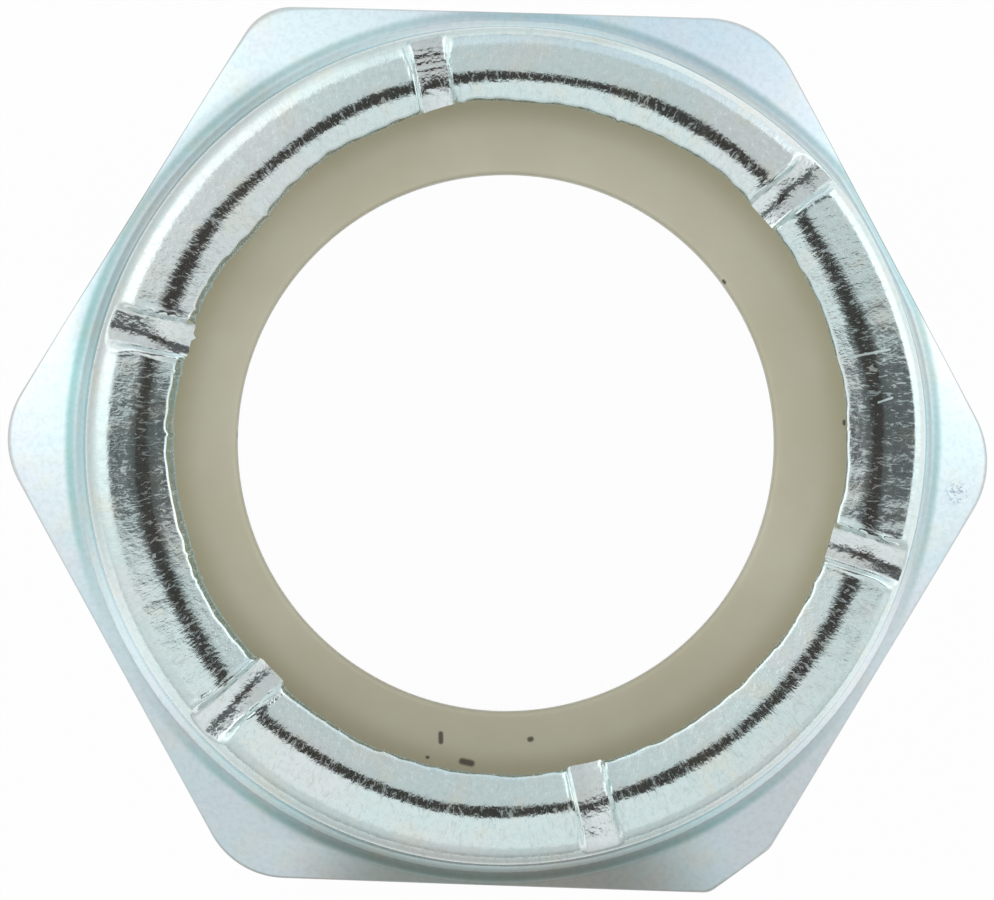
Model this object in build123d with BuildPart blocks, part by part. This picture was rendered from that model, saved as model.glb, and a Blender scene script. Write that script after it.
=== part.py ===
from build123d import *
from math import cos, radians, sin, tan
import os

# Nylon insert lock nut for a 5/8-18 UNF bolt, in millimetres.
# The origin is the centre of the bearing face and +Z runs up the thread axis, towards the collar.
# The nut is laid out from the bolt outwards: thread, nylon ring, collar, hexagon.

# Tapped bore, plain at the thread's minor diameter
thread_minor_radius = 7.34
entry_countersink = 1.0  # how far the mouth at the bearing face opens out
exit_countersink = 0.6  # the same, under the ring
countersink_angle = 45.0

# Nylon ring
insert_bite = 0.12  # how far its bore stands inside the thread's crests
insert_width = 3.03  # bore to outer wall
insert_thickness = 4.2
insert_edge_break = 0.15
insert_foot_chamfer = 0.3
insert_clearance = 0.02  # ring to pocket wall

# Collar, rolled in over the ring
collar_height = 6.75  # hexagon to crest
collar_wall = 1.1
collar_bend = 0.85  # outer radius of the bend above the wall
bend_relief = 0.3  # inside corner of the bend
crest_inset = 1.19  # collar wall to the flat crest
crest_width = 0.38
crest_rounding = 0.7  # where the crest turns down on either side
crest_fall_angle = 18.0  # slope from the crest out to the bend
lip_overhang = 1.19  # how far the lip reaches over the ring
lip_fall_angle = 19.0  # slope from the crest in to the lip
collar_foot_fillet = 0.7

# Crimp notches, pressed into the rolled lip so that the ring cannot turn
crimp_count = 6
crimp_from_corner = 44.0  # degrees, from a corner of the hexagon
crimp_floor_width = 0.85
crimp_draft = 12.0  # lean of the notch's flanks
crimp_ridge_inset = 0.75  # lip to the highest line of the notch's floor
crimp_ridge_depth = 0.41  # crest to that line
crimp_inner_fall = 16.0  # the floor falls from there towards the axis
crimp_outer_fall = 9.0  # and outwards
crimp_push = 0.25  # how far the lip is squeezed inwards there
crimp_push_rounding = 0.12

# Hexagon
flat_ledge = 0.535  # collar wall to the flats
hexagon_height = 12.3  # bearing face to where cone and collar wall would meet
corner_rounding = 2.6  # underfilled corners of a cold forging
shoulder_angle = 28.0  # slope of the cone below the collar
shoulder_edge_break = 0.15
bearing_inset = 0.6  # flats to the edge of the bearing face
bearing_chamfer_angle = 30.0

# Radii that follow from these sizes
insert_bore_radius = thread_minor_radius - insert_bite
insert_radius = insert_bore_radius + insert_width
pocket_radius = insert_radius + insert_clearance
collar_radius = pocket_radius + collar_wall
crest_outer_radius = collar_radius - crest_inset
crest_inner_radius = crest_outer_radius - crest_width
lip_radius = pocket_radius - lip_overhang
across_flats = 2 * (collar_radius + flat_ledge)
corner_radius = across_flats / 2 / cos(radians(30))  # centre to a sharp corner
bearing_radius = across_flats / 2 - bearing_inset

# Levels that follow from them
nut_height = hexagon_height + collar_height
collar_corner_level = nut_height - crest_inset * tan(radians(crest_fall_angle))
lip_top = nut_height - (crest_inner_radius - lip_radius) * tan(radians(lip_fall_angle))
lip_underside = nut_height - collar_wall
pocket_floor = lip_underside - insert_thickness
cone_fall = tan(radians(shoulder_angle))
foot_radius = collar_radius + flat_ledge
shoulder_foot_level = hexagon_height - flat_ledge * cone_fall
shoulder_corner_level = hexagon_height - (corner_radius - collar_radius) * cone_fall
cone_crown_level = hexagon_height + crest_inset * cone_fall
bearing_chamfer_level = (corner_radius - bearing_radius) * tan(radians(bearing_chamfer_angle))
entry_depth = entry_countersink / tan(radians(countersink_angle))
exit_depth = exit_countersink / tan(radians(countersink_angle))

# A notch is two straight channels through the rolled lip that meet at its floor's ridge
crimp_ridge = Vector(lip_radius + crimp_ridge_inset, 0, nut_height - crimp_ridge_depth)
crimp_lip_level = crimp_ridge.Z - crimp_ridge_inset * tan(radians(crimp_inner_fall))
crimp_reach = collar_radius - insert_bore_radius
with BuildPart() as crimp_notch:
    for fall in (crimp_inner_fall, -crimp_outer_fall):
        run = Vector(1, 0, tan(radians(fall)))
        start = crimp_ridge - run * (crimp_ridge.X - insert_bore_radius)
        with BuildSketch(Plane(origin=start, x_dir=(0, 1, 0), z_dir=run)) as channel:
            Trapezoid(
                crimp_floor_width, collar_wall, 90 + crimp_draft, align=(Align.CENTER, Align.MIN)
            )
        extrude(amount=crimp_reach * run.length)

# The metal that each notch squeezes inwards past the lip
with BuildPart() as squeezed_lip:
    with BuildSketch(Plane.XY.offset(lip_underside)) as tongue:
        with Locations((lip_radius, 0)):
            RectangleRounded(2 * crimp_push, crimp_floor_width, radius=crimp_push_rounding)
    extrude(amount=crimp_lip_level - lip_underside)

with BuildPart() as nut_body:
    # Hexagon with rounded corners, between the bearing chamfer and the shoulder's cone
    with BuildSketch() as hexagon:
        RegularPolygon(radius=corner_radius, side_count=6)
        fillet(hexagon.vertices(), radius=corner_rounding)
    extrude(amount=nut_height)
    with BuildSketch(Plane.XZ) as forging:
        with BuildLine():
            Polyline(
                (0, 0),
                (bearing_radius, 0),
                (corner_radius, bearing_chamfer_level),
                (corner_radius, shoulder_corner_level),
                (crest_outer_radius, cone_crown_level),
                (0, cone_crown_level),
                close=True,
            )
        make_face()
    revolve(axis=Axis.Z, mode=Mode.INTERSECT)
    shoulder = nut_body.faces().filter_by(GeomType.CONE).sort_by(Axis.Z)[-1]
    chamfer(shoulder.edges().filter_by(GeomType.CIRCLE, reverse=True), length=shoulder_edge_break)

    # Collar: cone, foot fillet, wall, the bend above it, the crest and the lip
    with BuildSketch(Plane.XZ) as collar:
        with BuildLine():
            Polyline(
                (0, shoulder_foot_level),
                (foot_radius, shoulder_foot_level),
                (collar_radius, hexagon_height),
                (collar_radius, collar_corner_level),
                (crest_outer_radius, nut_height),
                (crest_inner_radius, nut_height),
                (lip_radius, lip_top),
                (0, lip_top),
                close=True,
            )
        make_face()
        foot, bend = collar.vertices().filter_by_position(
            Axis.X, collar_radius, collar_radius
        ).sort_by(Axis.Y)
        crest = collar.vertices().group_by(Axis.Y)[-1]
        fillet(foot, radius=collar_foot_fillet)
        fillet(bend, radius=collar_bend)
        fillet(crest, radius=crest_rounding)
    revolve(axis=Axis.Z)

    # Inside: countersunk bore, pocket and the underside of the lip
    with BuildSketch(Plane.XZ) as inside:
        with BuildLine():
            Polyline(
                (0, 0),
                (thread_minor_radius + entry_countersink, 0),
                (thread_minor_radius, entry_depth),
                (thread_minor_radius, pocket_floor - exit_depth),
                (thread_minor_radius + exit_countersink, pocket_floor),
                (pocket_radius, pocket_floor),
                (pocket_radius, lip_underside),
                (lip_radius, lip_underside),
                (lip_radius, nut_height),
                (0, nut_height),
                close=True,
            )
        make_face()
        bend = inside.vertices().group_by(Axis.X)[-1].sort_by(Axis.Y)[-1]
        chamfer(bend, length=bend_relief)
    revolve(axis=Axis.Z, mode=Mode.SUBTRACT)

    # Crimps around the lip
    with PolarLocations(0, crimp_count, start_angle=crimp_from_corner):
        add(squeezed_lip.part)
    with PolarLocations(0, crimp_count, start_angle=crimp_from_corner):
        add(crimp_notch.part, mode=Mode.SUBTRACT)

with BuildPart() as nylon_insert:
    with BuildSketch(Plane.XZ) as ring:
        with Locations((insert_bore_radius, pocket_floor)):
            Rectangle(insert_width, insert_thickness, align=Align.MIN)
        chamfer(ring.vertices().group_by(Axis.X)[0], length=insert_edge_break)
        foot_edge = ring.vertices().group_by(Axis.X)[-1].sort_by(Axis.Y)[0]
        chamfer(foot_edge, length=insert_foot_chamfer)
        top_edge = ring.vertices().group_by(Axis.X)[-1].sort_by(Axis.Y)[-1]
        chamfer(top_edge, length=bend_relief)
    revolve(axis=Axis.Z)

nut_body.part.label = "nut_body"
nylon_insert.part.label = "nylon_insert"

os.makedirs("parts", exist_ok=True)
export_step(nut_body.part, "parts/nut_body.step")
export_step(nylon_insert.part, "parts/nylon_insert.step")
print("across flats", across_flats, "solids", len(nut_body.part.solids()), nut_body.part.is_valid)
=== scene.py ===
import math

import bpy
import numpy as np
from mathutils import Matrix, Vector


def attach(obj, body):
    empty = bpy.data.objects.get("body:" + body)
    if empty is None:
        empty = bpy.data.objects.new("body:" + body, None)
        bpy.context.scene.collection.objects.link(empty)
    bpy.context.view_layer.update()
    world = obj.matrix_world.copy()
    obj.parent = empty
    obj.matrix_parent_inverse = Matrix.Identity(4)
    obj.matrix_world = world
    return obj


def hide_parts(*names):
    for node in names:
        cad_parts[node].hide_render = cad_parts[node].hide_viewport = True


# Nylon insert lock nut, seen from above its collar.
# Lengths are in millimetres until a mesh is made: bearing face at z = 0, a corner of the hexagon on +X.
mm = 0.001
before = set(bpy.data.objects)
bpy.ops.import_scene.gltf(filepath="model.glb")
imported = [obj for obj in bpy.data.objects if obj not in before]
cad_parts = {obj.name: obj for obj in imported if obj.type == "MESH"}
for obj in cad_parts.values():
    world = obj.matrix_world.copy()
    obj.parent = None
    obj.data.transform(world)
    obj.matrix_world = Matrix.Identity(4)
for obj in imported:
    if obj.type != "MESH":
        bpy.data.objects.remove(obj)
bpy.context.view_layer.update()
print("frame:", ", ".join(sorted(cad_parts)))


# Shaping helpers


def ease(low, high, x):
    # 0 below low, 1 above high, a cubic in between
    t = np.clip((x - low) / (high - low), 0, 1)
    return t * t * (3 - 2 * t)


def hill(x, centre, width):
    # bell curve of height 1
    return np.exp(-(((x - centre) / width) ** 2))


def turn(angle, centre):
    # difference of two angles in degrees, wrapped to half a turn either way
    return (angle - centre + 180) % 360 - 180


def fall(degrees):
    # how far a slope drops in each millimetre
    return math.tan(math.radians(degrees))


def shifted(radius, shift, angle):
    # a circle whose centre is off the axis, as a radius at each angle
    return radius + shift[0] * np.cos(np.radians(angle)) + shift[1] * np.sin(np.radians(angle))


def bulging(bulges, angle):
    # the sum of bell curves round the circle, each a direction, a half width in degrees and a height
    return sum(height * hill(turn(angle, centre), 0, half) for centre, half, height in bulges)


def waver(angle, seed, fewest, most, count):
    # sines that close on themselves round the circle, whole numbers of waves, seeded phases, rms 1
    draw = np.random.default_rng(seed)
    waves = draw.integers(fewest, most + 1, count)
    phases = draw.uniform(0, 2 * np.pi, count)
    return np.sin(np.outer(waves, np.radians(angle)) + phases[:, None]).sum(0) * math.sqrt(2 / count)


def wavering(wavers, angle):
    # the sum of several wavers, each a height and then what waver() takes after the angle
    return sum(height * waver(angle, *rest) for height, *rest in wavers)


def crowded(count, extra, steps=7200):
    # count angles round the circle, closer together where extra(angle) is larger
    fine = np.linspace(0, 360, steps + 1)
    density = 1 + extra(fine)
    reach = np.concatenate([[0], np.cumsum((density[1:] + density[:-1]) / 2)])
    return np.interp(np.arange(count) / count * reach[-1], reach, fine)


def gridFaces(rows, columns, first, closed):
    # quads between neighbouring rows of a grid whose columns close on themselves
    row = np.arange(rows if closed else rows - 1)[:, None]
    column = np.arange(columns)[None, :]
    above, beside = (row + 1) % rows, (column + 1) % columns
    corners = [row * columns + column, row * columns + beside, above * columns + beside, above * columns + column]
    return (np.stack(np.broadcast_arrays(*corners), -1) + first).reshape(-1, 4)


def makePiece(name, r, z, angle, faces, attributes, sharp=50):
    # rows of points to a mesh: x = r cos(angle), y = r sin(angle); attributes are one number per vertex,
    # and edges that turn by more than sharp degrees are not smoothed
    rows = [(a, b, np.radians(t)) for a, b, t in zip(r, z, angle)]
    points = np.concatenate([np.stack([a * np.cos(t), a * np.sin(t), b], -1).reshape(-1, 3) for a, b, t in rows])
    mesh = bpy.data.meshes.new(name)
    mesh.from_pydata((points * mm).tolist(), [], [f for group in faces for f in group.tolist()])
    mesh.polygons.foreach_set("use_smooth", np.ones(len(mesh.polygons), bool))
    mesh.set_sharp_from_angle(angle=math.radians(sharp))
    for key, value in attributes.items():
        mesh.attributes.new(key, "FLOAT", "POINT").data.foreach_set("value", value.astype(np.float32))
    mesh.update()
    made = bpy.data.objects.new(name, mesh)
    bpy.context.scene.collection.objects.link(made)
    print(name, len(mesh.vertices), "points", len(mesh.polygons), "faces")
    return made


# Nut body: one closed skin, a profile carried round the axis

nut = dict(
    # hexagon: bearing face with the mouth's edge, flats, shoulder
    mouthRadius=10.35, bearingRadius=11.305, bearingSlope=30, bearingRound=0.08, hexHeight=12.3, shoulderSlope=28,
    # sides: direction they face, distance, then the rounding of the corner after it and of the rim there;
    # the sixth only takes the point off a corner, and hexCentre is off the axis
    sides=(
        (29.51, 11.868, 2.6, 0.20), (90.0, 11.892, 1.45, 0.34), (149.64, 11.873, 2.35, 0.26),
        (210.23, 11.905, 2.3, 0.14), (269.55, 11.868, 0.5, 0.16), (307.5, 13.13, 0.6, 0.16),
        (330.53, 11.915, 2.5, 0.20),
    ),
    hexCentre=(0.055, 0.010),
    # rim: its rounding along the flats, how many degrees past a corner the corner's own goes, and the room that is
    # left between it and the fillet
    edgeAtFlat=0.09, edgeSpread=2, edgeRoom=0.02,
    # collar: wall, and bulges that stand outwards: direction, half width in degrees, how far
    collarRadius=11.37, collarTaper=0.05, collarBulges=((38, 12, 0.12), (12, 16, 0.10)),
    footFillet=(0.80, -0.12), collarRound=(0.68, -0.22),  # middle value, and what is added towards +X
    # crest: waves are a height, a seed, the fewest and the most of them round the circle, and how many are added up
    crestLevel=19.03, crestRound=0.9, outerFall=17.0, innerFall=18.0,
    crestInner=9.76, crestInnerWaves=((0.02, 5, 4, 17, 8), (0.004, 8, 40, 120, 20)),
    crestOuter=10.13, crestOuterWaves=((0.03, 6, 3, 14, 8), (0.005, 9, 40, 120, 20)),
    # lip: its bulges stand inwards
    lipRadius=9.08, lipRound=0.15, lipUnder=17.95, lipLean=0.05, underRound=0.05, lipWaves=((0.014, 3, 7, 30, 12),),
    lipBulges=((139, 8, 0.19), (127, 14, 0.07), (98, 6, -0.10), (208, 8, -0.06), (56, 7, -0.06), (284, 6, 0.04)),
    # burrs stand inwards too, where their waves pass a level, and are longest on the side away from +X
    burrWaves=(4, 60, 170, 24), burrsFrom=1.1, burrHeight=0.02, longerBurrs=((190, 55, 0.03),),
    # the lip's bevelled edge is widest on that side as well
    bevel=0.07, widerBevel=((182, 48, 0.15),), bevelWaves=((0.012, 7, 20, 90, 14),), bevelFall=52.0, bevelRound=0.04,
    footShift=(0.175, 0.10), crestShift=(0.318, 0.155), lipShift=(0.332, 0.296),  # each ring's centre, off the axis
    pocketRadius=10.27, pocketFloor=13.75, pocketRound=0.06, bendRelief=0.3, floorReach=9.0,
    # columns of the mesh stand closer together at notches and corners: how much, and within how many degrees
    columns=816, perThreadColumn=6, atNotches=(1.9, 4.4), atCorners=(0.6, 5),
    # for the finish: the range of band and its slope on the shoulder, and the rim, fainter along the flats
    bandRange=(-2.0, 2.6), bandPerMm=2, rimAtFlat=0.9, rimFullFrom=(12.2, 13.0),
)  # fmt: skip

crimps = dict(
    middle=9.9,  # from the crest's centre; what follows has one entry for each notch
    angles=(43.5, 103.35, 164.1, 224.9, 284.75, 344.4),
    skew=(-1.5, -1.3, 6.0, -1.9, -0.9, -1.1),  # degrees off the radius
    push=(0.0, 0.02, 0.08, 0.12, 0.08, 0.0),  # how far the lip is squeezed inwards
    halfWidth=(0.42, 0.41, 0.42, 0.42, 0.42, 0.42),
    ridge=(0.0, -0.04, 0.0, 0.02, 0.12, -0.03),  # how far out the floor's ridge lies
    blend=(0.32, 0.24, 0.32, 0.40, 0.30, 0.36),  # how gradually the floor turns over
    slant=(0.5, 0.0, 0.2, 0.5, 0.0, -0.4),  # of the ridge, out for each millimetre across
    arch=(0.0, 0.8, 0.0, 0.0, 0.4, 0.0),  # how far the ridge bends inwards towards the flanks
    bow=(0.20, 0.06, 0.20, 0.26, 0.13, 0.20),  # slope of the shallow trough across the floor
    low=(0.03, 0.02, 0.14, -0.03, -0.10, -0.06),  # where the trough is deepest
    outerFall=(15.0, 9.5, 13.0, 13.5, 12.0, 10.0),
    hook=(0.05, 0.0, 0.04, -0.08, 0.0, 0.12),  # slope across the outer part
    # the same for all of them; a reach is where something begins and is full, outwards from the notch's middle
    ridgeLevel=18.70, innerFall=16.0, troughRound=0.15, hookReach=(0.2, 0.8),
    flank=0.11, fade=0.14, fadeReach=(0.55, 1.2),  # width of a flank, and how much wider it gets
    meeting=0.02, softer=0.05, softerReach=(0.6, 1.1),  # how softly floor and skin meet, and how much softer
    lift=0.03, liftBeside=0.05, liftWidth=0.06, liftFrom=0.2,  # a small ridge beside each flank, where metal was moved
    # the squeeze fades across from before the floor's edge to past it, and outwards the same at the lip
    squeezeAcross=(0.1, 0.3), squeezeReach=(0.1, 0.9),
    degrees=12, aboveUnder=0.15, overCrest=0.015,  # a notch keeps within these of its direction, the lip and the crest
    pressedFrom=0.1,  # as deep as this the skin counts as pressed
)  # fmt: skip


def hexOutline(angle, size):
    # radius of a polygon with rounded corners: the nearest side, or near a corner the circle that touches both
    facing = np.radians([side[0] for side in size["sides"]])
    away = np.stack([np.cos(facing), np.sin(facing)], 1)
    distance = np.array([side[1] for side in size["sides"]]) + away @ np.array(size["hexCentre"])
    aim = np.stack([np.cos(np.radians(angle)), np.sin(np.radians(angle))])
    towards, least = away @ aim, 0.1  # sides that face away are left out
    radius = np.where(towards > least, distance[:, None] / np.maximum(towards, least), np.inf).min(0)
    edge = np.full_like(angle, size["edgeAtFlat"])
    for k, (_, _, rounding, edgeAtCorner) in enumerate(size["sides"]):
        pair = [k, (k + 1) % len(facing)]
        centre = np.linalg.solve(away[pair], distance[pair] - rounding)
        ends = [np.degrees(np.arctan2(*(centre + rounding * away[i])[::-1])) for i in pair]
        middle = ends[0] + turn(ends[1], ends[0]) / 2
        half = abs(turn(ends[1], ends[0])) / 2
        along = centre @ aim
        arc = along + np.sqrt(np.maximum(along**2 - centre @ centre + rounding**2, 0))
        radius = np.where(np.abs(turn(angle, middle)) < half, arc, radius)
        edge = edge + (edgeAtCorner - size["edgeAtFlat"]) * hill(turn(angle, middle), 0, half + size["edgeSpread"])
    return radius, edge


def roundedProfile(corners, angle):
    # straight lines through the corners, each corner replaced by an arc tangent to both its lines:
    # start + radius * (sin a along the first line + (1 - cos a) across it), a from 0 to the turn
    r, z, radius = (np.stack([corner[k] + 0 * angle for corner in corners]) for k in range(3))
    stepR, stepZ = np.diff(r, axis=0), np.diff(z, axis=0)
    length = np.hypot(stepR, stepZ)
    stepR, stepZ = stepR / length, stepZ / length
    rows, marks, lastR, lastZ = [(r[:1], z[:1])], [corners[0][5]], r[0], z[0]
    for k in range(1, len(corners)):
        arcSteps, lineSteps, mark = corners[k][3:6]
        atR, atZ, swing = r[k], z[k], None
        if k < len(corners) - 1:
            side = stepR[k - 1] * stepZ[k] - stepZ[k - 1] * stepR[k]
            swing = np.arctan2(side, stepR[k - 1] * stepR[k] + stepZ[k - 1] * stepZ[k])
            back = radius[k] * np.tan(np.abs(swing) / 2)
            atR, atZ = r[k] - stepR[k - 1] * back, z[k] - stepZ[k - 1] * back
        share = (np.arange(1, lineSteps + 1) / (lineSteps + 1))[:, None]
        rows.append((lastR + (atR - lastR) * share, lastZ + (atZ - lastZ) * share))
        marks += [corners[k][6] if len(corners[k]) > 6 else "plain"] * lineSteps
        if swing is None:
            rows.append((atR[None], atZ[None]))
            marks.append(mark)
            break
        a = np.linspace(0, 1, arcSteps)[:, None] * np.abs(swing)
        ahead, aside = radius[k] * np.sin(a), radius[k] * (1 - np.cos(a)) * np.sign(swing)
        arcR = atR + ahead * stepR[k - 1] - aside * stepZ[k - 1]
        arcZ = atZ + ahead * stepZ[k - 1] + aside * stepR[k - 1]
        rows.append((arcR, arcZ))
        marks += [mark] * arcSteps
        lastR, lastZ = arcR[-1], arcZ[-1]
    return np.concatenate([a for a, _ in rows]), np.concatenate([b for _, b in rows]), np.array(marks)


def outerRows(size, angle):
    # bearing face, flats, shoulder, collar, crest, lip, and down inside to the pocket floor
    hexagon, edge = hexOutline(angle, size)
    wall = shifted(size["collarRadius"], size["footShift"], angle) + bulging(size["collarBulges"], angle)
    top = wall - size["collarTaper"]
    pocket = shifted(size["pocketRadius"], size["footShift"], angle)
    crestIn = shifted(size["crestInner"], size["crestShift"], angle) + wavering(size["crestInnerWaves"], angle)
    crestOut = shifted(size["crestOuter"], size["crestShift"], angle) + wavering(size["crestOuterWaves"], angle)
    burrs = np.maximum(waver(angle, *size["burrWaves"]) - size["burrsFrom"], 0)
    burrs = burrs * (size["burrHeight"] + bulging(size["longerBurrs"], angle))
    lip = shifted(size["lipRadius"], size["lipShift"], angle) - bulging(size["lipBulges"], angle)
    lip = lip + wavering(size["lipWaves"], angle) - burrs
    bevel = size["bevel"] + bulging(size["widerBevel"], angle) + wavering(size["bevelWaves"], angle)
    foot, bend = (size[key][0] + size[key][1] * np.cos(np.radians(angle)) for key in ("footFillet", "collarRound"))
    # on the short shoulder above a flat the fillet leaves room for the rim's rounding
    slope = math.radians(size["shoulderSlope"])
    half = math.tan(math.radians(90 - size["shoulderSlope"]) / 2)
    foot = np.minimum(foot, ((hexagon - wall) / math.cos(slope) - edge * half - size["edgeRoom"]) / half)
    # levels
    crest, under, floor = size["crestLevel"], size["lipUnder"], size["pocketFloor"]
    chamfer = (hexagon - size["bearingRadius"]) * fall(size["bearingSlope"])
    shoulder = size["hexHeight"] - (hexagon - wall) * fall(size["shoulderSlope"])
    bendTop = crest - (top - crestOut) * fall(size["outerFall"])
    bevelTop = crest - (crestIn - lip - bevel) * fall(size["innerFall"])
    bevelFoot = bevelTop - bevel * fall(size["bevelFall"])
    # each corner: r, z, arc radius, rows on the arc, rows on the line before it, the arc's mark, the line's mark
    corners = [
        (size["mouthRadius"], 0, 0, 1, 0, "plain"),
        (size["bearingRadius"], 0, size["bearingRound"], 3, 2, "plain"),
        (hexagon, chamfer, size["bearingRound"], 3, 2, "plain"),
        (hexagon, shoulder, edge, 7, 2, "rim"),
        (wall, size["hexHeight"], foot, 11, 4, "foot", "shoulder"),
        (top, bendTop, bend, 13, 2, "roll"),
        (crestOut, crest, size["crestRound"], 4, 7, "roll", "roll"),
        (crestIn, crest, size["crestRound"], 4, 1, "roll", "roll"),
        (lip + bevel, bevelTop, size["lipRound"], 5, 6, "edge", "lip"),
        (lip, bevelFoot, size["bevelRound"], 3, 1, "edge", "edge"),
        (lip + size["lipLean"], under, size["underRound"], 3, 2, "edge", "edge"),
        (pocket, under, size["bendRelief"], 3, 2, "plain"),
        (pocket, floor, size["pocketRound"], 3, 2, "plain"),
        (size["floorReach"], floor, 0, 1, 2, "plain"),
    ]
    return roundedProfile(corners, angle)


def pressCrimps(r, z, angle, marks, tool, size):
    # each notch: the roll lowered to a roof-shaped floor between two flanks, a small ridge beside each, and the lip
    # squeezed in; out and across are lengths along and across the notch from its middle
    r, z, depth = r.copy(), z.copy(), np.zeros_like(z)
    x = r * np.cos(np.radians(angle)) - size["crestShift"][0]
    y = r * np.sin(np.radians(angle)) - size["crestShift"][1]
    movable = np.isin(marks, ["roll", "lip", "edge"])[:, None]
    rising = fall(tool["innerFall"])
    for k, centre in enumerate(tool["angles"]):
        place, way = math.radians(centre), math.radians(centre + tool["skew"][k])
        fromX, fromY = x - tool["middle"] * math.cos(place), y - tool["middle"] * math.sin(place)
        out = fromX * math.cos(way) + fromY * math.sin(way)
        across = fromY * math.cos(way) - fromX * math.sin(way)
        half, falling = tool["halfWidth"][k], -fall(tool["outerFall"][k])
        flank = tool["flank"] + tool["fade"] * ease(*tool["fadeReach"], out)
        within = 1 - ease(half, half + flank, np.abs(across))
        near = (np.abs(turn(angle, centre)) < tool["degrees"]) & movable
        # roof: one slope inside the ridge, the other outside, blended by a square root
        beyond = out - tool["ridge"][k] - tool["slant"][k] * across + tool["arch"][k] * across**2
        roof = (rising + falling) / 2 * beyond + (falling - rising) / 2 * np.hypot(beyond, tool["blend"][k])
        # trough: two slopes across the floor, blended the same way at its deepest line
        trough = np.hypot(across - tool["low"][k], tool["troughRound"]) - tool["troughRound"]
        floor = tool["ridgeLevel"] + roof + tool["bow"][k] * trough
        floor = floor + tool["hook"][k] * across * ease(*tool["hookReach"], out)
        # how far the skin stands above the floor, rounded off where the two meet
        soft = tool["meeting"] + tool["softer"] * ease(*tool["softerReach"], out)
        above = (z - floor + np.hypot(z - floor, soft) - soft) / 2
        sink = np.where(near & (z > size["lipUnder"] + tool["aboveUnder"]), np.maximum(above, 0) * within, 0)
        beside = hill(np.abs(across), half + flank + tool["liftBeside"], tool["liftWidth"])
        proud = np.clip((z - floor) / tool["liftFrom"], 0, 1) * near
        z = z - sink + tool["lift"] * beside * proud
        depth = np.maximum(depth, within * np.clip(sink / tool["pressedFrom"], 0, 1))
        before, after = tool["squeezeAcross"]
        squeeze = tool["push"][k] * (1 - ease(half - before, half + after, np.abs(across))) * near
        before, after = tool["squeezeReach"]
        r = r - squeeze * (1 - ease(size["lipRadius"] - before, size["lipRadius"] + after, r))
    return r, np.minimum(z, size["crestLevel"] + tool["overCrest"]), depth


thread = dict(
    pitch=1.4111, minor=7.40, major=7.93, flank=(0.16, 0.86), entryMouth=0.95, exitMouth=0.55, rows=126,
    # its centre off the axis; flat rings carry it out to the pocket floor and to the bearing face, each with a
    # radius and its share of that offset
    centre=(0.235, 0.195), upperRings=((8.75, 0.5), (8.3, 0.9)), lowerRings=((8.8, 0.9), (9.4, 0.5), (9.95, 0.1)),
)  # fmt: skip


def threadRows(size, shape, angle):
    # radius over height and angle: a 60 degree ridge that climbs one pitch a turn, cut by the cone at each mouth
    top = size["pocketFloor"]
    z = np.linspace(0, top, shape["rows"])[:, None] + np.zeros_like(angle)
    phase = (z / shape["pitch"] - angle / 360) % 1
    ridge = np.clip(np.abs(phase - 0.5) * 2, 0, 1)
    r = shape["minor"] + (shape["major"] - shape["minor"]) * ease(*shape["flank"], 1 - ridge)
    mouth = np.maximum(shape["minor"] + shape["entryMouth"] - z, shape["minor"] + shape["exitMouth"] - (top - z))
    r = np.maximum(r, mouth)
    off = shifted(0, shape["centre"], angle)
    upper, lower = (
        np.array([radius + off * share for radius, share in shape[key]]) for key in ("upperRings", "lowerRings")
    )
    r = np.concatenate([upper, r[::-1] + off, lower])
    z = np.concatenate([upper * 0 + top, z[::-1], lower * 0])
    return r, z


def busy(angle):
    # a bell at each notch and at each of the six corners
    (notchMore, notchHalf), (cornerMore, cornerHalf) = nut["atNotches"], nut["atCorners"]
    atNotches = sum(notchMore * hill(turn(angle, centre), 0, notchHalf) for centre in crimps["angles"])
    return atNotches + cornerMore * hill(turn(angle * 6, 0) / 6, 0, cornerHalf)


columns = crowded(nut["columns"], busy)
outerR, outerZ, marks = outerRows(nut, columns)
outerR, outerZ, pressed = pressCrimps(outerR, outerZ, columns, marks, crimps, nut)
threadAngle = columns[:: nut["perThreadColumn"]]
innerR, innerZ = threadRows(nut, thread, threadAngle)

outerCount, many, few = outerR.size, len(columns), len(threadAngle)
outerFaces = gridFaces(len(outerR), many, 0, False)
innerFaces = gridFaces(len(innerR), few, outerCount, False)
# where fine columns meet coarse ones, each flat face takes one step of the coarse ring and perThreadColumn fine ones
step = nut["perThreadColumn"]
coarse = np.arange(few)[:, None]
fineSteps = (coarse * step + np.arange(step + 1)[None, :]) % many
lastRow, lastInner = (len(outerR) - 1) * many, outerCount + (len(innerR) - 1) * few
upperJoin = np.concatenate([lastRow + fineSteps, outerCount + (coarse + 1) % few, outerCount + coarse], 1)
lowerJoin = np.concatenate([lastInner + coarse, lastInner + (coarse + 1) % few, fineSteps[:, ::-1]], 1)


def spread(marked, outside=0.0):
    # values of the outer rows, a constant on the inner ones
    return np.concatenate([(marked + 0 * outerR).ravel(), np.full(innerR.size, outside)])


# band, a coordinate up the section: 0 where the shoulder ends, 1 at the wall, 1.2 to 2.5 over the outer bend,
# and below 0 on the shoulder
firstFoot, lastFoot = np.flatnonzero(marks == "foot")[[0, -1]]
rowIndex = np.arange(len(marks))
bandLeast, bandMost = nut["bandRange"]
onShoulder = np.clip((outerR - outerR[firstFoot]) * nut["bandPerMm"], 0, -bandLeast) * (rowIndex < firstFoot)[:, None]
band = np.clip((rowIndex - firstFoot) / (lastFoot - firstFoot), 0, bandMost)[:, None] - onShoulder
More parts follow.
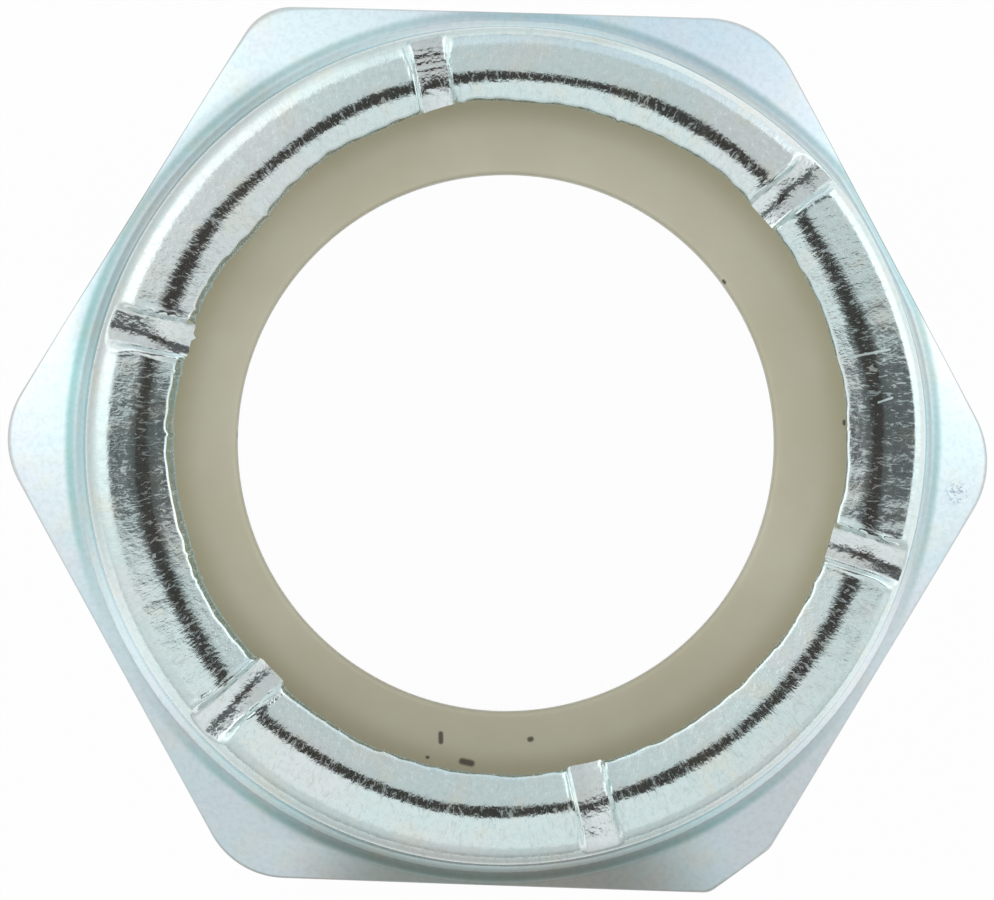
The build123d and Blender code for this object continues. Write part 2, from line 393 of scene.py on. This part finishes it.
# 1 on the rounded rim, 0 on its first row and down to 0 again over the last three
firstRim, lastRim = np.flatnonzero(marks == "rim")[[0, -1]]
rim = (np.clip((lastRim - rowIndex) / 3, 0, 1) * (rowIndex > firstRim))[:, None]
rim = rim * (nut["rimAtFlat"] + (1 - nut["rimAtFlat"]) * ease(*nut["rimFullFrom"], outerR))
worked = np.isin(marks, ["roll", "lip", "edge"])[:, None]

body = makePiece(
    "nutBody", [outerR, innerR], [outerZ, innerZ], [columns, threadAngle],
    [outerFaces, innerFaces, upperJoin, lowerJoin],
    {"band": spread(band, bandLeast), "rim": spread(rim), "worked": spread(worked), "pressed": spread(pressed)},
)  # fmt: skip

# Nylon ring

ring = dict(
    bore=7.27, wall=10.25, foot=13.75, top=17.95, boreRound=0.16, boreRows=7,
    dish=0.05, dishTo=9.4, dishRows=(0.06, 0.94, 9),  # depth, where it ends, and its rows as shares of the way
    # the rest of the section as pairs: out from the bore and up from the foot, then in from the wall and down from
    # the top, then in from the wall and up from the foot
    boreEdge=((0.1, 0.02), (0.02, 0.1), (0.0, 0.4), (0.0, 1.75), (0.0, 3.45)),
    topEdge=((0.65, 0.0), (0.31, 0.0), (0.02, 0.32), (0.0, 0.5)),
    footEdge=((0.0, 0.5), (0.15, 0.15), (0.4, 0.0), (1.25, 0.0), (2.25, 0.0)),
    centre=(0.22, 0.18), wallCentre=(0.175, 0.10), columns=360,
)  # fmt: skip


def ringRows(size, angle):
    # closed section: up the bore, round its edge, out over the slightly dished top, down the wall and back under
    bore, wall, foot, top, edge = (size[key] for key in ("bore", "wall", "foot", "top", "boreRound"))
    swing = np.radians(np.linspace(0, 90, size["boreRows"]))
    across = np.linspace(*size["dishRows"])
    (boreOut, boreUp), (topIn, topDown), (footIn, footUp) = (
        np.array(size[key]).T for key in ("boreEdge", "topEdge", "footEdge")
    )
    dishR = bore + edge + (size["dishTo"] - bore - edge) * across
    dishZ = top - size["dish"] * np.sin(np.pi * across)
    r = np.concatenate([bore + boreOut, bore + edge * (1 - np.cos(swing)), dishR, wall - topIn, wall - footIn])
    z = np.concatenate([foot + boreUp, top - edge + edge * np.sin(swing), dishZ, top - topDown, foot + footUp])
    r = r[:, None] + np.zeros_like(angle)
    z = z[:, None] + np.zeros_like(angle)
    # the bore is off centre, the wall fits the pocket
    share = (r - bore) / (wall - bore)
    return shifted(r, size["centre"], angle) * (1 - share) + shifted(r, size["wallCentre"], angle) * share, z


ringAngle = np.arange(ring["columns"]) / ring["columns"] * 360
ringR, ringZ = ringRows(ring, ringAngle)
ringFaces = gridFaces(len(ringR), len(ringAngle), 0, True)[:, ::-1]
insert = makePiece("nylonRing", [ringR], [ringZ], [ringAngle], [ringFaces], {})


# Node wiring


class Wire:
    # a shader socket; + - * / ** and the named methods add Math nodes behind it
    def __init__(self, net, socket):
        self.net, self.socket = net, socket

    def math(self, operation, *others, swap=False):
        values = [self, *others]
        if swap:
            values = values[::-1]
        return self.net.add("ShaderNodeMath", {"operation": operation}, dict(enumerate(values)))[0]

    def __add__(self, other):
        return self.math("ADD", other)

    def __sub__(self, other):
        return self.math("SUBTRACT", other)

    def __rsub__(self, other):
        return self.math("SUBTRACT", other, swap=True)

    def __mul__(self, other):
        return self.math("MULTIPLY", other)

    def __truediv__(self, other):
        return self.math("DIVIDE", other)

    def __rtruediv__(self, other):
        return self.math("DIVIDE", other, swap=True)

    def __pow__(self, other):
        return self.math("POWER", other)

    __radd__, __rmul__ = __add__, __mul__

    def size(self):
        return self.math("ABSOLUTE")

    def ramp(self, low, high, most=None):
        # smooth step from 0 at low to 1 at high, times most
        step = self.net.add(
            "ShaderNodeMapRange",
            {"interpolation_type": "SMOOTHSTEP"},
            {"Value": self, "From Min": low, "From Max": high, "To Min": 0.0, "To Max": 1.0},
        )["Result"]
        return step if most is None else step * most

    def bell(self, centre, width, most=None):
        # exp of minus the square of the distance over the width, times most
        curve = (((self - centre) / width) ** 2.0 * -1.0).math("EXPONENT")
        return curve if most is None else curve * most

    def along(self, across, way):
        # this and a second wire as a direction's two parts, measured along the given way
        return self * way[0] + across * way[1]


class Net:
    # a node tree: add() makes any node from its type, settings and inputs
    def __init__(self, tree):
        self.tree = tree
        tree.nodes.clear()

    def add(self, kind, settings=None, inputs=None):
        made = self.tree.nodes.new(kind)
        for key, value in (settings or {}).items():
            setattr(made, key, value)
        for key, value in (inputs or {}).items():
            if isinstance(value, Wire):
                self.tree.links.new(value.socket, made.inputs[key])
            else:
                made.inputs[key].default_value = value
        wires = {s.name: Wire(self, s) for s in reversed(made.outputs) if s.enabled}
        return {**wires, **{i: Wire(self, s) for i, s in enumerate(made.outputs)}}

    def mix(self, share, a, b, blend="MIX"):
        # colour from a to b
        settings = {"data_type": "RGBA", "blend_type": blend}
        return self.add("ShaderNodeMix", settings, {0: share, 6: opaque(a), 7: opaque(b)})[2]

    def tint(self, share, a, b):
        # a multiplied by colour b, by the given share
        return self.mix(share, a, b, "MULTIPLY")

    def vector(self, x, y, z):
        return self.add("ShaderNodeCombineXYZ", None, {0: x, 1: y, 2: z})[0]

    def split(self, vector):
        parts = self.add("ShaderNodeSeparateXYZ", None, {0: vector})
        return parts[0], parts[1], parts[2]

    def noise(self, vector, scale, detail, rough, warp=0.0):
        sockets = {"Vector": vector, "Scale": scale, "Detail": detail, "Roughness": rough, "Distortion": warp}
        return self.add("ShaderNodeTexNoise", None, sockets)[0]

    def vectorMath(self, operation, output, *values):
        return self.add("ShaderNodeVectorMath", {"operation": operation}, dict(enumerate(values)))[output]

    def attribute(self, name):
        return self.add("ShaderNodeAttribute", {"attribute_name": name})["Fac"]

    def bump(self, height):
        # height in thousandths of a millimetre
        return self.add("ShaderNodeBump", None, {"Strength": 1.0, "Distance": mm / 1000, "Height": height})[0]

    def stroke(self, place, start, end, width, core=0.35):
        # 1 on the straight line between two different points, seen along the axis, fading from the core's share of
        # the width out to the width; lengths in mm
        a, b = Vector((*start, 0)) * mm, Vector((*end, 0)) * mm
        along = b - a
        fromStart = self.vectorMath("SUBTRACT", "Vector", place, tuple(a))
        share = self.vectorMath("DOT_PRODUCT", "Value", fromStart, tuple(along / along.length_squared))
        share = share.math("MAXIMUM", 0.0).math("MINIMUM", 1.0)
        nearest = self.add("ShaderNodeVectorMath", {"operation": "SCALE"}, {0: tuple(along), "Scale": share})["Vector"]
        away = self.vectorMath("LENGTH", "Value", self.vectorMath("SUBTRACT", "Vector", fromStart, nearest))
        return 1 - away.ramp(width * core * mm, width * mm)

    def strokes(self, place, lines):
        # the strongest of several strokes
        found = [self.stroke(place, *line) for line in lines]
        for other in found[1:]:
            found[0] = found[0].math("MAXIMUM", other)
        return found[0]


def opaque(colour):
    return colour if isinstance(colour, Wire) else (*colour, 1.0)


def newMaterial(name):
    material = bpy.data.materials.new(name)
    material.use_nodes = True
    return material, Net(material.node_tree)


def finishMaterial(net, inputs):
    shader = net.add("ShaderNodeBsdfPrincipled", None, inputs)[0]
    net.add("ShaderNodeOutputMaterial", None, {"Surface": shader})


# Finishes: ramps and bells are given as what Wire.ramp and Wire.bell take

zinc = dict(
    base=(0.765, 0.90, 0.945), rose=(0.87, 0.865, 0.905), straw=(0.87, 0.87, 0.79), dull=(0.84, 0.86, 0.85),
    roseRamp=(0.42, 0.62, 0.5), strawRamp=(0.5, 0.68, 0.4), dullRamp=(0.40, 0.70, 0.45),
    # on the collar's bend and the lip, and in the notches
    worn=(1.0, 0.985, 0.93), wornShare=0.9, smeared=(0.85, 0.875, 0.87), smearedShare=0.6,
    # noises: how many a metre, detail, roughness
    cloud=(260.0, 3.0, 0.55), cast=(900.0, 3.0, 0.6), speck=(6500.0, 2.0, 0.6), grain=(7000.0, 2.0, 0.5),
    # streaks, and dull flakes of the plating: how many round the axis, how many a metre up and outwards; then detail,
    # roughness and warp
    streaks=(80.0, 1900.0, 3200.0), streakNoise=(2.0, 0.5, 1.6),
    flakes=(95.0, 900.0, 3600.0), flakeNoise=(2.0, 0.55, 1.0), flakeRamp=(0.53, 0.66),
    # where each side begins and is full, as a share of its direction: east is +X, north is +Y, ends are +X and -X
    east=(0.2, 0.6), west=(0.0, 0.7), south=(0.1, 0.6), north=(0.88, 0.99), ends=(0.86, 0.96),
    # the plating's film: two lines in the fillet, thicker on some sides; it and the painted shade grey below are both
    # weaker on either side of the south
    film=(0.76, 1.0, 0.96), filmLines=((0.0, 0.2), (0.5, 0.16, 0.6)), thinnerSouthSides=(-0.5, 0.26, 0.95),
    filmLeast=0.4, filmWest=(0.8, 1.0, 0.6), filmEast=(0.85, 1.0, 0.15), filmSouth=(0.8, 0.12, 0.6),
    # painted shade: grey round the fillet and up the wall, darkening what the metal mirrors there; where along band it
    # begins and ends, and what each side adds to the end
    shadeGrey=(0.61, 0.64, 0.64), greyStart=(-0.35, 0.05), greyEnd=1.35, greyFade=(-0.3, 0.3), greyEndMost=2.0,
    greyWest=0.6, greySouth=0.65, greyNorth=0.6, greyEast=-0.75,
    # thinner where the foot of the wall mirrors the fillet, along one line in the fillet, and to the north
    greyThinner=((0.98, 0.4, 0.9), (0.22, 0.07, 0.3)), thinnerNorth=0.3,
    # painted shade: greyer to the north west, fillet and shoulder
    northWest=(-0.83, 0.56), northWestRamp=(0.89, 0.96), northWestStart=(-1.0, -0.3), northWestEnd=(0.4, 0.95),
    northWestShare=0.58,
    # painted shade to the south: fillet and bend, and the shoulder above the flat there right out to its rim
    shade=(0.47, 0.43, 0.38), shadeRamp=(0.80, 1.0), shadeLines=((0.1, 0.55), (1.8, 0.4, 0.4)),
    ledge=(0.04, -1.0), ledgeRamp=(0.87, 0.98), ledgeEnd=(-0.25, 0.05),
    # painted highlight: a lighter line at the foot of the wall
    wallHighlight=(0.93, 0.96, 0.96), wallHighlightLine=(1.0, 0.2, 0.8),  # at the foot of the wall
    # painted shade on the rounded rim, darker still towards -Y
    rimShadeGrey=(0.70, 0.67, 0.64), rimShade=(0.55, 0.52, 0.49), rimShadeRamp=(0.75, 0.92),
    roughness=0.14, castRoughness=0.08, flakeRoughness=0.34, flakeShare=0.6, fewerFlakes=0.2, fewerRamp=(0.04, 0.24),
    # heights in thousandths of a millimetre, and how much of them is missing in the notches and at the ends
    streakHeight=7.0, castHeight=14.0, grainHeight=6.0, pressedLess=0.8, endStreaksLess=0.55, endGrainLess=0.3,
    # marks seen from above: from, to, half width in millimetres
    scratches=(((9.54, 2.76), (10.51, 2.98), 0.045), ((10.25, 1.54), (10.62, 1.68), 0.04)), scratchRoughness=0.36,
    # a patch of fine curls on the shoulder: middle and reach in millimetres; they follow one level of the specks
    scuffMiddle=(12.53, -0.84), scuffReach=(0.10, 0.44), scuffCurls=(0.5, 0.06), scuffBreaks=(0.40, 0.54),
    scuffColour=(0.50, 0.52, 0.62),
    # tool chatter across the floor of one notch: its middle, the way it runs, and its spacing and reach in millimetres
    chatterMiddle=(-2.10, 10.40), chatterTowards=102.0, chatterSpacing=0.2, chatterReach=(0.25, 0.52),
    chatterBreaks=(0.38, 0.62), chatterHeight=3.4,
)  # fmt: skip

nylon = dict(
    light=(0.690, 0.650, 0.500), dark=(0.640, 0.595, 0.435), darkRamp=(0.3, 0.7), roughness=0.42,
    # noises: how many a metre, detail, roughness; heights in thousandths of a millimetre
    cloud=(300.0, 3.0, 0.6), cloudHeight=12.0, fleck=(2600.0, 3.0, 0.6), fleckHeight=6.0,
    shade=(0.50, 0.43, 0.27), shadeRamp=(8.3, 9.1, 0.6),  # under the lip, by the distance from its centre
    # painted shade: the nylon darker towards -Y
    southShade=(0.80, 0.785, 0.78), southShadeRamp=(1.5, 8.6),  # towards -Y
    # specks of dirt seen from above: from, to, half width
    speckColour=(0.075, 0.055, 0.040), speckShare=0.9,
    specks=(
        ((-1.33, -7.73), (-1.32, -7.95), 0.097), ((1.08, -7.82), (1.12, -7.81), 0.103),
        ((-0.73, -8.46), (-0.48, -8.51), 0.130), ((-1.68, -8.38), (-1.66, -8.38), 0.065),
        ((-7.01, 0.31), (-7.02, 0.15), 0.054), ((5.98, 4.72), (6.02, 4.67), 0.060),
        ((9.36, 1.00), (9.36, 0.95), 0.081),
    ),
)  # fmt: skip


def metres(place):
    # a point seen from above as a vector
    return (place[0] * mm, place[1] * mm, 0.0)


def zincColour(net, look, flat, u, v, cloud, cast, speck, grain):
    # layer upon layer; band, rim, worked and pressed come with the mesh
    band, rim = net.attribute("band"), net.attribute("rim")
    toWest, toSouth = u * -1.0, v * -1.0
    east, west = u.ramp(*look["east"]), toWest.ramp(*look["west"])
    south, north = toSouth.ramp(*look["south"]), v.ramp(*look["north"])
    colour = net.mix(cloud.ramp(*look["roseRamp"]), look["base"], look["rose"])
    colour = net.mix(cast.ramp(*look["strawRamp"]), colour, look["straw"])
    # less film and less painted shade on either side of the south
    filmAndShadeLeft = 1 - v.bell(*look["thinnerSouthSides"])
    lines = [band.bell(*line) for line in look["filmLines"]]
    where = look["filmLeast"] + toWest.ramp(*look["filmWest"]) + u.ramp(*look["filmEast"])
    where = where + toSouth.bell(*look["filmSouth"])
    colour = net.tint((lines[0] + lines[1]) * filmAndShadeLeft * where, colour, look["film"])
    # painted shade: the grey tint round the fillet and up the wall, ending lower or higher on each side
    end = look["greyEnd"] + west * look["greyWest"] + south * look["greySouth"] + north * look["greyNorth"]
    end = (end + east * (1 - south) * look["greyEast"]).math("MINIMUM", look["greyEndMost"])
    shadeGrey = (1 - (band - end).ramp(*look["greyFade"])) * band.ramp(*look["greyStart"])
    for line in look["greyThinner"]:
        shadeGrey = shadeGrey * (1 - band.bell(*line))
    colour = net.tint(shadeGrey * filmAndShadeLeft * (1 - north * look["thinnerNorth"]), colour, look["shadeGrey"])
    # painted shade to the north west, on the fillet and shoulder
    northWest = u.along(v, look["northWest"]).ramp(*look["northWestRamp"]) * band.ramp(*look["northWestStart"])
    northWest = northWest * (1 - band.ramp(*look["northWestEnd"]))
    colour = net.tint(northWest * look["northWestShare"], colour, look["shadeGrey"])
    # painted shade to the south, on the fillet and bend and on the shoulder above the flat (ledge)
    lines = [band.bell(*line) for line in look["shadeLines"]]
    shade = toSouth.ramp(*look["shadeRamp"]) * (lines[0] + lines[1])
    ledge = u.along(v, look["ledge"]).ramp(*look["ledgeRamp"]) * (1 - band.ramp(*look["ledgeEnd"])) * (1 - rim)
    colour = net.tint(shade.math("MAXIMUM", ledge), colour, look["shade"])
    # painted highlight along the foot of the wall
    colour = net.mix(band.bell(*look["wallHighlightLine"]), colour, look["wallHighlight"])
    colour = net.tint(net.attribute("worked") * look["wornShare"], colour, look["worn"])
    colour = net.mix(net.attribute("pressed") * look["smearedShare"], colour, look["smeared"])
    colour = net.tint(speck.ramp(*look["dullRamp"]), colour, look["dull"])
    # painted shade on the rounded rim, and more of it towards -Y
    colour = net.tint(rim, colour, look["rimShadeGrey"])
    colour = net.tint(rim * toSouth.ramp(*look["rimShadeRamp"]), colour, look["rimShade"])
    fromScuff = net.vectorMath("DISTANCE", "Value", flat, metres(look["scuffMiddle"])) / mm
    scuffed = (1 - fromScuff.ramp(*look["scuffReach"])) * speck.bell(*look["scuffCurls"])
    return net.tint(scuffed * grain.ramp(*look["scuffBreaks"]), colour, look["scuffColour"])


def zincMaterial(look):
    material, net = newMaterial("zincPlate")
    place = net.add("ShaderNodeTexCoord")["Object"]
    x, y, z = net.split(place)
    flat = net.vector(x, y, 0.0)
    radius = (x * x + y * y).math("SQRT")
    # u and v run round the axis, so that a streak keeps its width and follows the radius
    u, v = x / radius, y / radius
    around, up, out = look["streaks"]
    streak = net.vector(u * around, v * around, radius * out + z * up)
    streak = net.noise(streak, 1.0, *look["streakNoise"])
    around, up, out = look["flakes"]
    flake = net.vector(u * around + z * up, v * around + radius * up, radius * out)
    flake = net.noise(flake, 1.0, *look["flakeNoise"])
    cloud, cast, speck, grain = (net.noise(place, *look[key]) for key in ("cloud", "cast", "speck", "grain"))
    worked, pressed = net.attribute("worked"), net.attribute("pressed")
    colour = zincColour(net, look, flat, u, v, cloud, cast, speck, grain)
    # shallower streaks towards +X and -X, and fewer flakes in the middle of them
    ends = u.size().ramp(*look["ends"])
    fewer = ends * (1 - v.size().ramp(*look["fewerRamp"])) * look["fewerFlakes"]
    flakes = flake.ramp(*look["flakeRamp"]) * worked * (look["flakeShare"] - fewer)
    rough = look["roughness"] + (cast - 0.5) * look["castRoughness"] + flakes * look["flakeRoughness"]
    rough = rough + net.strokes(flat, look["scratches"]) * look["scratchRoughness"]
    height = streak * (1 - ends * look["endStreaksLess"]) * look["streakHeight"] * worked
    height = height * (1 - pressed * look["pressedLess"]) + cast * look["castHeight"]
    height = height + grain * look["grainHeight"] * ((1 - ends * look["endGrainLess"]) * worked + pressed)
    # chatter: a sine along its way, broken up by the grain, fading from its middle
    way = math.radians(look["chatterTowards"])
    fromChatter = net.vectorMath("SUBTRACT", "Vector", flat, metres(look["chatterMiddle"]))
    along = net.vectorMath("DOT_PRODUCT", "Value", fromChatter, (math.cos(way), math.sin(way), 0.0))
    wave = (along * (2 * math.pi / look["chatterSpacing"] / mm)).math("SINE")
    wave = wave * pressed * grain.ramp(*look["chatterBreaks"])
    near = net.vectorMath("LENGTH", "Value", fromChatter) / mm
    height = height + wave * (1 - near.ramp(*look["chatterReach"])) * look["chatterHeight"]
    finishMaterial(net, {"Base Color": colour, "Metallic": 1.0, "Roughness": rough, "Normal": net.bump(height)})
    return material


def nylonMaterial(look):
    material, net = newMaterial("nylon")
    place = net.add("ShaderNodeTexCoord")["Object"]
    x, y, _ = net.split(place)
    flat = net.vector(x, y, 0.0)
    fromLip = net.vectorMath("DISTANCE", "Value", flat, metres(nut["lipShift"])) / mm
    cloud, fleck = (net.noise(place, *look[key]) for key in ("cloud", "fleck"))
    colour = net.mix(cloud.ramp(*look["darkRamp"]), look["light"], look["dark"])
    colour = net.mix(fromLip.ramp(*look["shadeRamp"]), colour, look["shade"])
    # painted shade, darker towards -Y
    colour = net.tint((y * -1.0 / mm).ramp(*look["southShadeRamp"]), colour, look["southShade"])
    colour = net.mix(net.strokes(flat, look["specks"]) * look["speckShare"], colour, look["speckColour"])
    bump = net.bump(fleck * look["fleckHeight"] + cloud * look["cloudHeight"])
    finishMaterial(net, {"Base Color": colour, "Roughness": look["roughness"], "Normal": bump})
    return material


body.data.materials.append(zincMaterial(zinc))
insert.data.materials.append(nylonMaterial(nylon))
for piece, node, finish in ((body, "nut_body", "zinc_plated_steel"), (insert, "nylon_insert", "nylon")):
    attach(piece, "root")
    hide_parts(node)
print("finishes: zinc plate, nylon")

# Floor

floorLook = dict(
    halfSide=500, below=0.02, colour=(0.9, 0.9, 0.9, 1),
    glow=(1, 1, 1, 1), glowShare=0.97,  # what a camera or a mirroring surface sees of it
)  # fmt: skip

floorMesh = bpy.data.meshes.new("floor")
side, level = floorLook["halfSide"] * mm, -floorLook["below"] * mm
floorCorners = [(-side, -side, level), (side, -side, level), (side, side, level), (-side, side, level)]
floorMesh.from_pydata(floorCorners, [], [(0, 1, 2, 3)])
floor = bpy.data.objects.new("floor", floorMesh)
bpy.context.scene.collection.objects.link(floor)
floorMaterial, net = newMaterial("paleFloor")
path = net.add("ShaderNodeLightPath")
seen = path["Is Camera Ray"].math("MAXIMUM", path["Is Glossy Ray"]).math("MAXIMUM", path["Is Transmission Ray"])
matte = net.add("ShaderNodeBsdfDiffuse", None, {"Color": floorLook["colour"]})[0]
glow = net.add("ShaderNodeEmission", None, {"Color": floorLook["glow"], "Strength": 1.0})[0]
mixed = net.add("ShaderNodeMixShader", None, {0: seen * floorLook["glowShare"], 1: matte, 2: glow})[0]
net.add("ShaderNodeOutputMaterial", None, {"Surface": mixed})
floorMesh.materials.append(floorMaterial)

# Studio: a pale tent, dark where the camera looks in overhead, with a grey gap out to either side of it

studio = dict(
    tentColour=(0.97, 0.995, 1.0), northEastColour=(0.92, 1.0, 1.07),
    # high up: where that begins, the level there, and what is added towards +Y and +X
    upperRamp=(0.66, 0.79), upper=0.755, upperNorth=-0.11, upperEast=-0.05,
    # lower down: the level, a band of light, and what is added on two sides, with the way that each lies
    lower=0.70, sideLight=(0.4, 0.6, 0.66), sideRamp=(0.8, 1.0),
    northEastWay=(0.26, 0.97), northEast=-0.18, southEastWay=(0.50, -0.87), southEast=-0.05,
    # darker towards the horizon, most of all to the south
    horizonRamp=(0.02, 0.22), horizon=0.06, southRamp=(0.05, 0.4), southSide=(0.1, 0.8), south=0.12,
    # half lengths of the dark opening overhead, in a direction's x and y, its middle along y and its soft edge
    opening=(0.30, 0.215), openingMiddle=0.01, openingEdge=(0.85, 1.1), openingDark=0.045,
    openingColour=(1.0, 0.86, 0.76),
    # the same of the grey gap round it, middle along x, which is turned a little; neither goes below the horizon
    gap=(0.70, 0.205), gapMiddle=0.03, gapTurn=0.05, gapEdge=(0.82, 1.08), gapDark=0.10, aboveHorizon=(0.0, 0.1),
)  # fmt: skip


def lightStudio(look):
    # by direction: z is its height, and north and east say which side it is on
    world = bpy.data.worlds.new("studio")
    bpy.context.scene.world = world
    world.use_nodes = True
    net = Net(world.node_tree)
    x, y, z = net.split(net.add("ShaderNodeTexCoord")["Generated"])
    tiny = 1e-6  # keeps straight up from dividing by zero
    flat = (x * x + y * y + tiny).math("SQRT")
    north, east = y / flat, x / flat
    upper = z.ramp(*look["upperRamp"])
    northEast, southEast = (
        east.along(north, look[key]).ramp(*look["sideRamp"]) for key in ("northEastWay", "southEastWay")
    )
    lower = look["lower"] + north.bell(*look["sideLight"])
    lower = lower + northEast * look["northEast"] + southEast * look["southEast"]
    level = look["upper"] + north * look["upperNorth"] + east * look["upperEast"]
    level = lower * (1 - upper) + upper * level
    southDark = (1 - z.ramp(*look["southRamp"])) * (north * -1.0).ramp(*look["southSide"])
    level = level * (1 - (1 - z.ramp(*look["horizonRamp"])) * look["horizon"]) * (1 - southDark * look["south"])
    # gap: the fourth power along x and the square along y, so that its ends are broad
    along = (x - look["gapMiddle"]) / look["gap"][0]
    across = (y - x * look["gapTurn"]) / look["gap"][1]
    aboveHorizon = z.ramp(*look["aboveHorizon"])
    gap = (1 - (along**4.0 + across**2.0).math("SQRT").ramp(*look["gapEdge"])) * aboveHorizon
    along, across = x / look["opening"][0], (y - look["openingMiddle"]) / look["opening"][1]
    opening = (1 - (along**2.0 + across**2.0).math("SQRT").ramp(*look["openingEdge"])) * aboveHorizon
    level = level * (1 - gap) + gap * look["gapDark"]
    level = level * (1 - opening) + opening * look["openingDark"]
    colour = net.mix(northEast * (1 - upper), look["tentColour"], look["northEastColour"])
    colour = net.mix(opening, colour, look["openingColour"])
    path = net.add("ShaderNodeLightPath")
    lit = net.add("ShaderNodeBackground", None, {"Color": colour, "Strength": level})[0]
    plain = net.add("ShaderNodeBackground", None, {"Color": (1, 1, 1, 1), "Strength": 1.0})[0]
    mixed = net.add("ShaderNodeMixShader", None, {0: path["Is Camera Ray"], 1: lit, 2: plain})[0]
    net.add("ShaderNodeOutputWorld", None, {"Surface": mixed})


lightStudio(studio)
print("studio: tent with an opening overhead")

# Camera

cameraLook = dict(
    distance=1.0, tilt=0.1, towards=233.5, roll=1.55, imageWidth=994, pixelsPerMm=36.74,
    aim=(-0.01, -0.011, 11.6), sensor=36.0, clip=(0.05, 10),
)  # fmt: skip

camera = bpy.data.objects.new("camera", bpy.data.cameras.new("camera"))
bpy.context.scene.collection.objects.link(camera)
aim = Vector(cameraLook["aim"]) * mm
tilt, towards, roll = (math.radians(cameraLook[k]) for k in ("tilt", "towards", "roll"))
back = Vector((math.sin(tilt) * math.cos(towards), math.sin(tilt) * math.sin(towards), math.cos(tilt)))
across = Vector((math.cos(roll), math.sin(roll), 0))
across = (across - back * across.dot(back)).normalized()
turned = Matrix((across, back.cross(across), back)).transposed()
camera.matrix_world = Matrix.Translation(aim + back * cameraLook["distance"]) @ turned.to_4x4()
camera.data.sensor_width = cameraLook["sensor"]
width = cameraLook["imageWidth"] / cameraLook["pixelsPerMm"] * mm
camera.data.lens = cameraLook["sensor"] * cameraLook["distance"] / width
camera.data.clip_start, camera.data.clip_end = cameraLook["clip"]
bpy.context.scene.camera = camera
bpy.context.scene.view_settings.view_transform = "Standard"
print("camera: lens", round(camera.data.lens))
